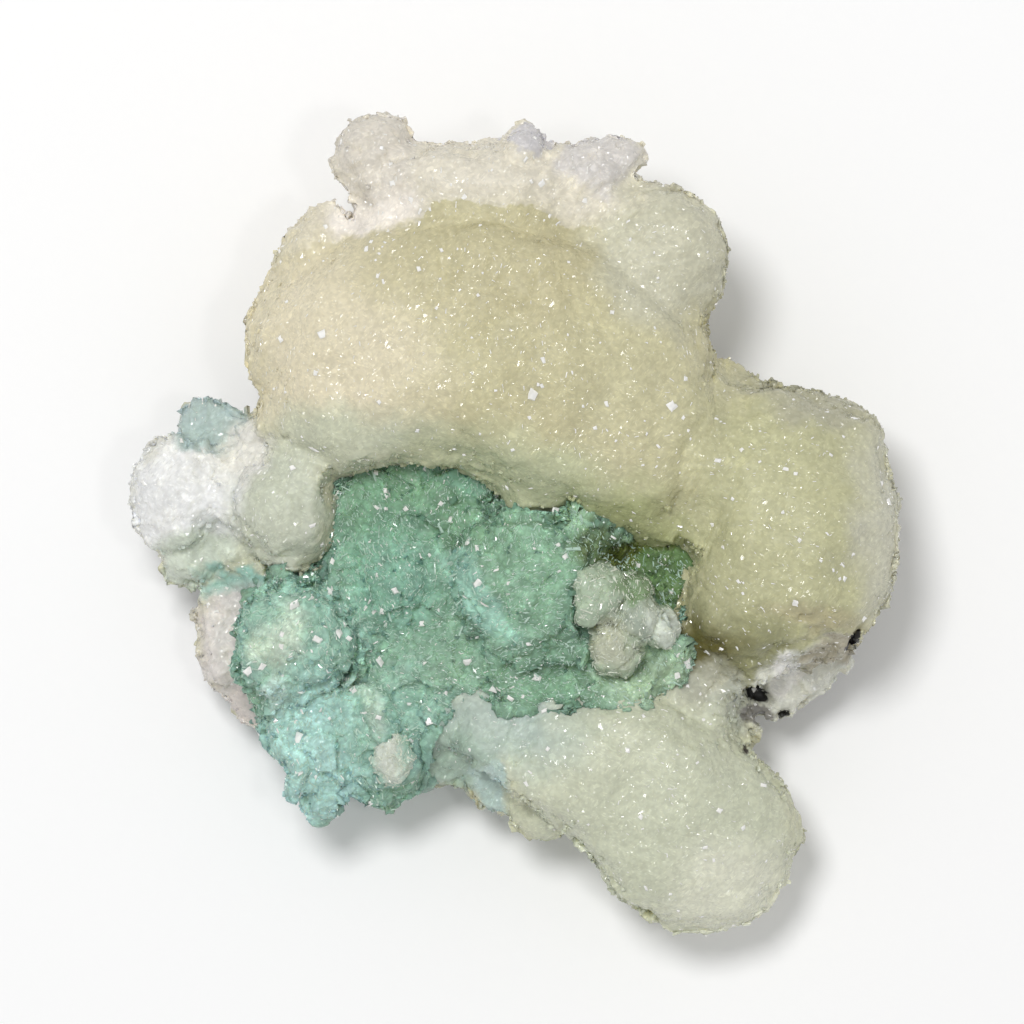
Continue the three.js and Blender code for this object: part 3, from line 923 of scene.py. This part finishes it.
# Zones: middle x and y, half width and half height, turn, softness of the edge, colour
STILBITE_GROUND = (200, 197, 165)
STILBITE_ZONES = [
    (-5, 50, 34, 14, 0, 0.3, (221, 215, 198)),
    (-6, 22.0, 42, 24.9, 0, 0.01, (196, 190, 152)),
    # Painted light: this zone makes the upper left of the dome lighter, where the light falls most
    (-28, 27, 15, 18, 0, 0.6, (221, 212, 184)),
    (-2, 38, 20, 8, 0, 0.6, (194, 187, 150)),
    (20, 20, 11, 20, 0, 0.5, (202, 197, 160)),
    (-26, 12, 13, 5, 0, 0.6, (200, 203, 178)),
    (0, 7, 16, 6, -10, 0.6, (192, 196, 160)),
    # Painted shade: this zone darkens the lower right of the dome above the shaded pocket
    (18, 0, 11, 6, -15, 0.5, (176, 181, 132)),
    (-22, 47, 7, 3.5, 10, 0.3, (238, 231, 220)),
    (-21.5, 55, 6.5, 6.5, 0, 0.3, (214, 208, 196)),
    (0.8, 57.0, 3.2, 3.2, 0, 0.15, (206, 203, 203)),
    (12.5, 54, 6.8, 3.9, 10, 0.15, (211, 207, 202)),
    (22, 41, 11, 11, 0, 0.35, (200, 198, 175)),
    (41, 0, 18, 24, 0, 0.4, (190, 189, 150)),
    (44, 19, 12, 4, -18, 0.5, (177, 175, 150)),
    # Partly the right lobe's own greyish rim, partly painted light: the whitening of its thin edge where
    # light shines through
    (56, 0, 6, 16, 0, 0.6, (203, 202, 182)),
    # Painted shade: these two zones darken the right sheaf's lower part and its contact with the green, where
    # the main body's shadow falls
    (34, -18, 11, 6, -25, 0.6, (150, 150, 112)),
    (27.5, -19, 4.5, 5, 0, 0.7, (100, 94, 42)),
    (44, -23, 10, 5.5, 25, 0.15, (216, 217, 206)),
    (47, -18.5, 5, 2.0, 20, 0.3, (176, 170, 150)),
    (40, -22.5, 2.2, 3.2, -20, 0.2, (236, 235, 230)),
    (29.5, -27, 6, 6, 0, 0.3, (176, 176, 160)),
    (31.5, -27.5, 3, 3.8, -30, 0.3, (186, 190, 178)),
    (20, -43, 25, 19, -30, 0.3, (201, 205, 181)),
    (-4, -29, 12, 7, -10, 0.6, (178, 193, 182)),
    (33, -56, 10, 9, 0, 0.6, (226, 227, 206)),
    # Painted shade over its own blue-green tone: this zone darkens the shaded underside of the lower lobe
    (-10, -35, 6, 5, 0, 0.4, (162, 182, 167)),
    (-4.7, -39.5, 3, 4.5, 0, 0.3, (179, 199, 193)),
    (-36, 2, 9, 10, 0, 0.35, (196, 201, 182)),
    (-50.5, 5, 9, 10, 0, 0.3, (231, 232, 231)),
    (-46, 16, 6, 5, 0, 0.2, (172, 190, 187)),
    (-40.5, 11, 4, 5, 0, 0.4, (222, 221, 214)),
    (-48.5, -5, 6, 5.5, 0, 0.3, (205, 213, 198)),
    (-39.5, -9, 8, 2.5, -4, 0.2, (151, 190, 178)),
    (-38.5, -10.8, 5, 1, 4, 0.3, (222, 218, 218)),
    (-43, -18, 7, 9, 0, 0.3, (216, 211, 206)),
    (-40, -27, 4, 4, 0, 0.3, (212, 204, 198)),
    (45, -13.5, 7, 1.8, -8, 0.6, (176, 170, 136)),
]
# Small marks with a clear edge, in the same form
STILBITE_SPOTS = [
    (35.5, -28.3, 3.6, 1.4, -8, 0.2, (128, 126, 120)),
    (50.2, -17.0, 2.2, 0.75, 60, 0.12, (28, 26, 24)),
    (36.1, -25.4, 1.9, 1.2, -30, 0.12, (24, 24, 24)),
    (40.3, -28.4, 0.9, 0.5, 30, 0.2, (34, 34, 30)),
    (34.2, -33.8, 0.5, 0.9, 0, 0.3, (60, 54, 46)),
    (-16.6, 8.6, 1.4, 0.35, 8, 0.5, (128, 118, 84)),
    (-15.2, 7.6, 0.5, 0.9, 10, 0.5, (120, 110, 80)),
]
GREEN_GROUND = (136, 172, 148)
GREEN_ZONES = [
    (-17, 3, 14, 8, 0, 0.6, (119, 158, 128)),
    (-9, 7, 5, 2.5, 0, 0.2, (128, 172, 146)),
    (-19, -8, 8, 9, 0, 0.6, (130, 174, 154)),
    (3, -9, 10, 10, 0, 0.3, (132, 170, 144)),
    (-5.6, -11.4, 2.4, 9.5, 33, 0.4, (160, 204, 186)),
    (4, -23, 9, 5, 0, 0.4, (126, 164, 136)),
    (19, -22, 8, 6, 0, 0.5, (164, 190, 160)),
    # Painted shade: this zone gives the dark olive of the pocket under the dome's overhang
    (18, -5, 8, 4.5, 0, 0.4, (86, 98, 40)),
    (22.5, -7.5, 5.5, 4.2, -35, 0.12, (98, 128, 80)),
    (9.5, 1.5, 2.5, 3.5, -30, 0.3, (150, 184, 155)),
    (-33, -17.5, 10, 9, 0, 0.3, (156, 196, 178)),
    (-35, -17, 4, 4, 0, 0.5, (194, 212, 194)),
    (-36.5, -24, 2.4, 3, 0, 0.3, (196, 222, 210)),
    (-30, -33, 9, 10, 0, 0.5, (174, 214, 208)),
    (-19, -31, 8, 9, 0, 0.5, (151, 190, 174)),
    (-21.5, -28, 2.2, 5.5, 18, 0.5, (182, 206, 190)),
    (-31, -40, 5, 6, 0, 0.5, (170, 208, 202)),
]
NODULE_GROUND = (167, 184, 160)
NODULE_ZONES = [
    (17.5, -13.6, 3.4, 3.4, 0, 0.3, (163, 174, 158)),
    (21.5, -15, 2.4, 3, 0, 0.3, (206, 214, 202)),
    (14.2, -18, 3, 4, 25, 0.4, (182, 186, 164)),
    (17, -9.3, 2.6, 2.2, 0, 0.3, (132, 156, 120)),
    (-19, -34.5, 7, 7, 0, 0.1, (158, 194, 176)),
    (-18.8, -34, 3.2, 3.8, 15, 0.5, (208, 214, 202)),
]
BASALT_ZONES = [(38.5, -28.3, 4.5, 1.8, -10, 0.3, (128, 126, 118))]


# The glassy faces: the turns of the strokes in degrees, their lean in radians, their shape and size, the size
# of the patches that share a turn, the size of the broad faces and the cell value over which they show, and
# how far the faces tilt
STROKE_TURNS = (52, -20)
STROKE_LEAN = (0.3, 0.2)
STROKE_SHAPE = (1.0, 0.28, 0.5)
STROKE_SIZE = 0.55
PATCH_SIZE = 2.5
BROAD_SIZE = 0.9
BROAD_ABOVE = 0.85
FACET_TILT = 0.5


def facet_normal(nodes):
    """The direction that each tiny glassy face looks in, and a value of its own for each."""
    ways = []
    for turn in STROKE_TURNS:
        stretched = nodes.mapped(nodes.place, (0, 0, 0), (*STROKE_LEAN, math.radians(turn)), STROKE_SHAPE)
        ways.append(nodes.cells(STROKE_SIZE, stretched))
    strokes = nodes.mix(nodes.ramp(nodes.noise(PATCH_SIZE, 0.0), 0.49, 0.51), *ways)
    broad = nodes.cells(BROAD_SIZE, nodes.place)
    chosen = nodes.add("ShaderNodeMath", operation="GREATER_THAN")
    nodes.settle(chosen, {0: nodes.channel(broad, 2), 1: BROAD_ABOVE})
    facing = nodes.mix(chosen.outputs[0], strokes, broad)
    tilt = nodes.vector("MULTIPLY_ADD", facing, (2 * FACET_TILT,) * 3, (-FACET_TILT,) * 3)
    skin_normal = nodes.add("ShaderNodeNewGeometry").outputs["True Normal"]
    return nodes.vector("NORMALIZE", nodes.vector("ADD", tilt, skin_normal)), nodes.channel(facing, 1)


# The size and reach of the noise that frays the zones' edges and of the slower one that bends them, and the
# sizes of the patches and mottles that are a little lighter or darker
FRAY = (0.9, 0.3)
BEND = (7.0, 2.2)
PATCHES_SIZE = 3.2
MOTTLES_SIZE = 0.8
# The middle range of the noise, and the facets' values from the dimmest up and from the first bright fleck up
NOISE_RANGE = (0.35, 0.65)
DIM_RANGE = (0.0, 0.6)
DIMMEST = 0.96
FLECK_RANGE = (0.84, 0.96)


def druse(name, ground, zones, glow, glow_mm, spots=(), fleck=1.14, patch=(0.97, 1.03), mottle=(0.94, 1.06)):
    """Translucent crystal: soft colour zones and fine mottling under a skin of tiny glassy facets."""
    nodes = Nodes(name)
    ragged = wandering(nodes, nodes.place, *FRAY)
    colour = zoned(nodes, wandering(nodes, ragged, *BEND), srgb(*ground), zones)
    colour = zoned(nodes, ragged, colour, spots, SPOT_HEIGHT)
    for size, (low, high) in ((PATCHES_SIZE, patch), (MOTTLES_SIZE, mottle)):
        colour = nodes.scaled(colour, nodes.ramp(nodes.noise(size, 1.0), *NOISE_RANGE, low, high))
    facets, value = facet_normal(nodes)
    colour = nodes.scaled(colour, nodes.ramp(value, *DIM_RANGE, DIMMEST, 1.0))
    colour = nodes.scaled(colour, nodes.ramp(value, *FLECK_RANGE, 1.0, fleck))
    nodes.shader.subsurface_method = "BURLEY"
    nodes.settle(nodes.shader, {
        "Base Color": colour,
        "Roughness": 0.5,
        "IOR": 1.5,
        "Specular IOR Level": 0.3,
        "Subsurface Weight": glow,
        "Subsurface Radius": (1.0, 0.9, 0.6),
        "Subsurface Scale": glow_mm * MM,
        "Coat Weight": 0.6,
        "Coat Roughness": 0.12,
        "Coat Normal": facets,
    })
    return nodes.material


def plain_face(name, tint):
    """Faces of one fixed colour, lightly mottled, under a glossy coat. The white ones are painted glints and
    the pale green ones are painted bright edges: their colour stands in for the light that clear faces catch.
    """
    nodes = Nodes(name)
    colour = nodes.scaled(srgb(*tint)[:3], nodes.ramp(nodes.noise(1.0, 1.0), 0.3, 0.7, 0.85, 1.0))
    nodes.settle(nodes.shader, {"Base Color": colour, "Roughness": 0.15})
    nodes.settle(nodes.shader, {"Coat Weight": 1.0, "Coat Roughness": 0.1})
    return nodes.material


def basalt():
    """Dark rock with pale specks and a fine grain."""
    nodes = Nodes("basalt")
    dark = nodes.noise(1.2, 4.0)
    colour = nodes.mix(nodes.ramp(dark, *NOISE_RANGE), srgb(52, 51, 48), srgb(92, 90, 84))
    colour = zoned(nodes, nodes.place, colour, BASALT_ZONES)
    specks = nodes.ramp(nodes.noise(2.2, 2.0), 0.66, 0.72)
    bump = nodes.add("ShaderNodeBump")
    nodes.settle(bump, {"Strength": 0.6, "Distance": 0.3 * MM, "Height": dark})
    nodes.settle(nodes.shader, {
        "Base Color": nodes.mix(specks, colour, srgb(170, 168, 158)),
        "Roughness": 0.75,
        "Normal": bump.outputs["Normal"],
    })
    return nodes.material


cream = druse("cream_druse", STILBITE_GROUND, STILBITE_ZONES, 0.6, 1.5, spots=STILBITE_SPOTS)
green = druse(
    "green_druse", GREEN_GROUND, GREEN_ZONES, 0.8, 2.2, fleck=1.25, patch=(0.83, 1.06), mottle=(0.84, 1.08)
)
# Painted highlight: pale green faces whose colour stands in for crystal edges catching the light
pale_green = plain_face("pale_green_painted_edges", (190, 218, 202))
pale = druse("pale_druse", NODULE_GROUND, NODULE_ZONES, 0.6, 1.2)
# Painted glints: white faces whose colour stands in for light caught by clear crystal faces
bright = plain_face("painted_glint_faces", (255, 254, 250))
pale_grain = plain_face("pale_faces", (224, 230, 214))


# The pieces


def placed(piece, material, node):
    """Gives a piece its material and says what it belongs to."""
    piece.data.materials.append(material)
    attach(piece, "root")
    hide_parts(node)


SURFACES = [
    ("stilbite_skin", "stilbite_sheaves", skins["stilbite_sheaves"], cream),
    ("green_skin", "green_crust", skins["green_crust"], green),
    ("green_bridge", "green_crust", bridge(*open_gaps), green),
    ("nodule_cluster_skin", "nodule_cluster", skins["nodule_cluster"], pale),
    ("lone_nodule_skin", "lone_nodule", skins["lone_nodule"], pale),
    ("slab_skin", "basalt_slab", skins["basalt_slab"], basalt()),
]
for name, node, mesh, material in SURFACES:
    placed(object_of(name, *mesh, flat=node == "basalt_slab"), material, node)

# How much the crystals' sizes vary, all three together and each alone, and their share on the sides
SIZE_SPREAD = 0.35
SHAPE_SPREAD = 0.2
ON_SIDES = 0.4
# How far a rim's skin faces up or down, how far its blocks lean, and the weight of the skin elsewhere
RIM_SLOPE = 0.5
RIM_LEAN = 0.35
ELSEWHERE = 1e-6


def sizes(count, length, width, height):
    """The length, width and height of each crystal, varied by chance."""
    size = np.array([[length, width, height]]) * np.exp(random.normal(0, SIZE_SPREAD, (count, 1)))
    return size * np.exp(random.normal(0, SHAPE_SPREAD, (count, 3)))


def rim(name, node, count, size, material):
    """Short blocks that stand out sideways, where the skin turns away from above."""
    corners, faces = skins[node]
    normal = normals_of(corners, faces)
    weight = views[node][0] * np.clip(1 - np.abs(normal[:, 2]) / RIM_SLOPE, 0, 1) + ELSEWHERE
    place, chosen = scattered(corners, faces, weight, count)
    up = normal[faces[chosen]].mean(axis=1)
    piece = crystals(name, BLOCK, place, up, random.normal(0, 1, (count, 3)), sizes(count, *size), RIM_LEAN)
    placed(piece, material, node)


def grain(name, node, template, count, size, tilt, material, side=ON_SIDES):
    """Crystals that lie on the skin along its blades."""
    place, up, along = spread(node, count, side)
    piece = crystals(name, template, place, up, along, sizes(count, *size), tilt)
    placed(piece, material, node)


# These white laths and plates are painted glints, standing in for light caught by crystal faces
grain("stilbite_laths", "stilbite_sheaves", ROOF, 3500, (0.38, 0.1, 0.06), 0.15, bright)
grain("stilbite_plates", "stilbite_sheaves", PLATE, 450, (0.55, 0.42, 0.12), 0.15, bright)
grain("green_laths", "green_crust", ROOF, 1500, (0.4, 0.12, 0.07), 0.25, bright)
grain("green_plates", "green_crust", PLATE, 200, (0.75, 0.6, 0.15), 0.2, bright)
# These pale green strokes are painted bright edges, standing in for crystal edges that catch the light
grain("green_strokes", "green_crust", ROOF, 14000, (0.6, 0.12, 0.08), 0.35, pale_green)
rim("stilbite_teeth", "stilbite_sheaves", 2500, (0.5, 0.25, 0.35), cream)
rim("green_teeth", "green_crust", 1800, (0.55, 0.35, 0.45), green)
grain("nodule_cluster_laths", "nodule_cluster", ROOF, 1400, (0.5, 0.12, 0.08), 0.3, pale_grain, side=0.6)
grain("lone_nodule_laths", "lone_nodule", ROOF, 400, (0.5, 0.12, 0.08), 0.3, pale_grain, side=0.6)


# Floor, lights and camera

# Half the side of the floor; the lamps' places, sizes and powers; and the light of the room
HALF_FLOOR = 1500.0
LAMPS = [
    ("key", (-190, 280, 1160), 300, 6.95),
    ("glint", (230, -40, 1160), 90, 0.7),
]
ROOM_LIGHT = 0.475
FARTHEST_SEEN = 20.0


def floor():
    """A plain pale floor under the specimen."""
    side = HALF_FLOOR
    corners = np.array([[-side, -side, 0], [side, -side, 0], [side, side, 0], [-side, side, 0]])
    piece = object_of("floor", corners, np.array([[0, 1, 2], [0, 2, 3]]), flat=True)
    nodes = Nodes("floor")
    nodes.settle(nodes.shader, {"Base Color": (1, 1, 1, 1), "Roughness": 0.9})
    piece.data.materials.append(nodes.material)


def lamp(name, place, size, power):
    """A round lamp that shines at the specimen's middle."""
    light = bpy.data.lights.new(name, "AREA")
    light.shape = "DISK"
    light.size = size * MM
    light.energy = power
    lamp_object = bpy.data.objects.new(name, light)
    lamp_object.location = Vector(place) * MM
    aim = Vector((0, 0, FOCUS_HEIGHT)) - Vector(place)
    lamp_object.rotation_euler = aim.to_track_quat("-Z", "Y").to_euler()
    bpy.context.scene.collection.objects.link(lamp_object)


floor()
for row in LAMPS:
    lamp(*row)

world = bpy.data.worlds.new("studio")
world.use_nodes = True
background = world.node_tree.nodes["Background"].inputs
background["Color"].default_value = (1, 1, 1, 1)
background["Strength"].default_value = ROOM_LIGHT
bpy.context.scene.world = world

camera_data = bpy.data.cameras.new("camera")
camera_data.sensor_width = SENSOR
camera_data.lens = SENSOR * CAMERA_HEIGHT / FRAME_WIDTH
camera_data.clip_end = FARTHEST_SEEN
camera = bpy.data.objects.new("camera", camera_data)
camera.location = Vector((*FRAME_MIDDLE, CAMERA_HEIGHT + FOCUS_HEIGHT)) * MM
bpy.context.scene.collection.objects.link(camera)
bpy.context.scene.camera = camera
bpy.context.scene.view_settings.view_transform = "Standard"
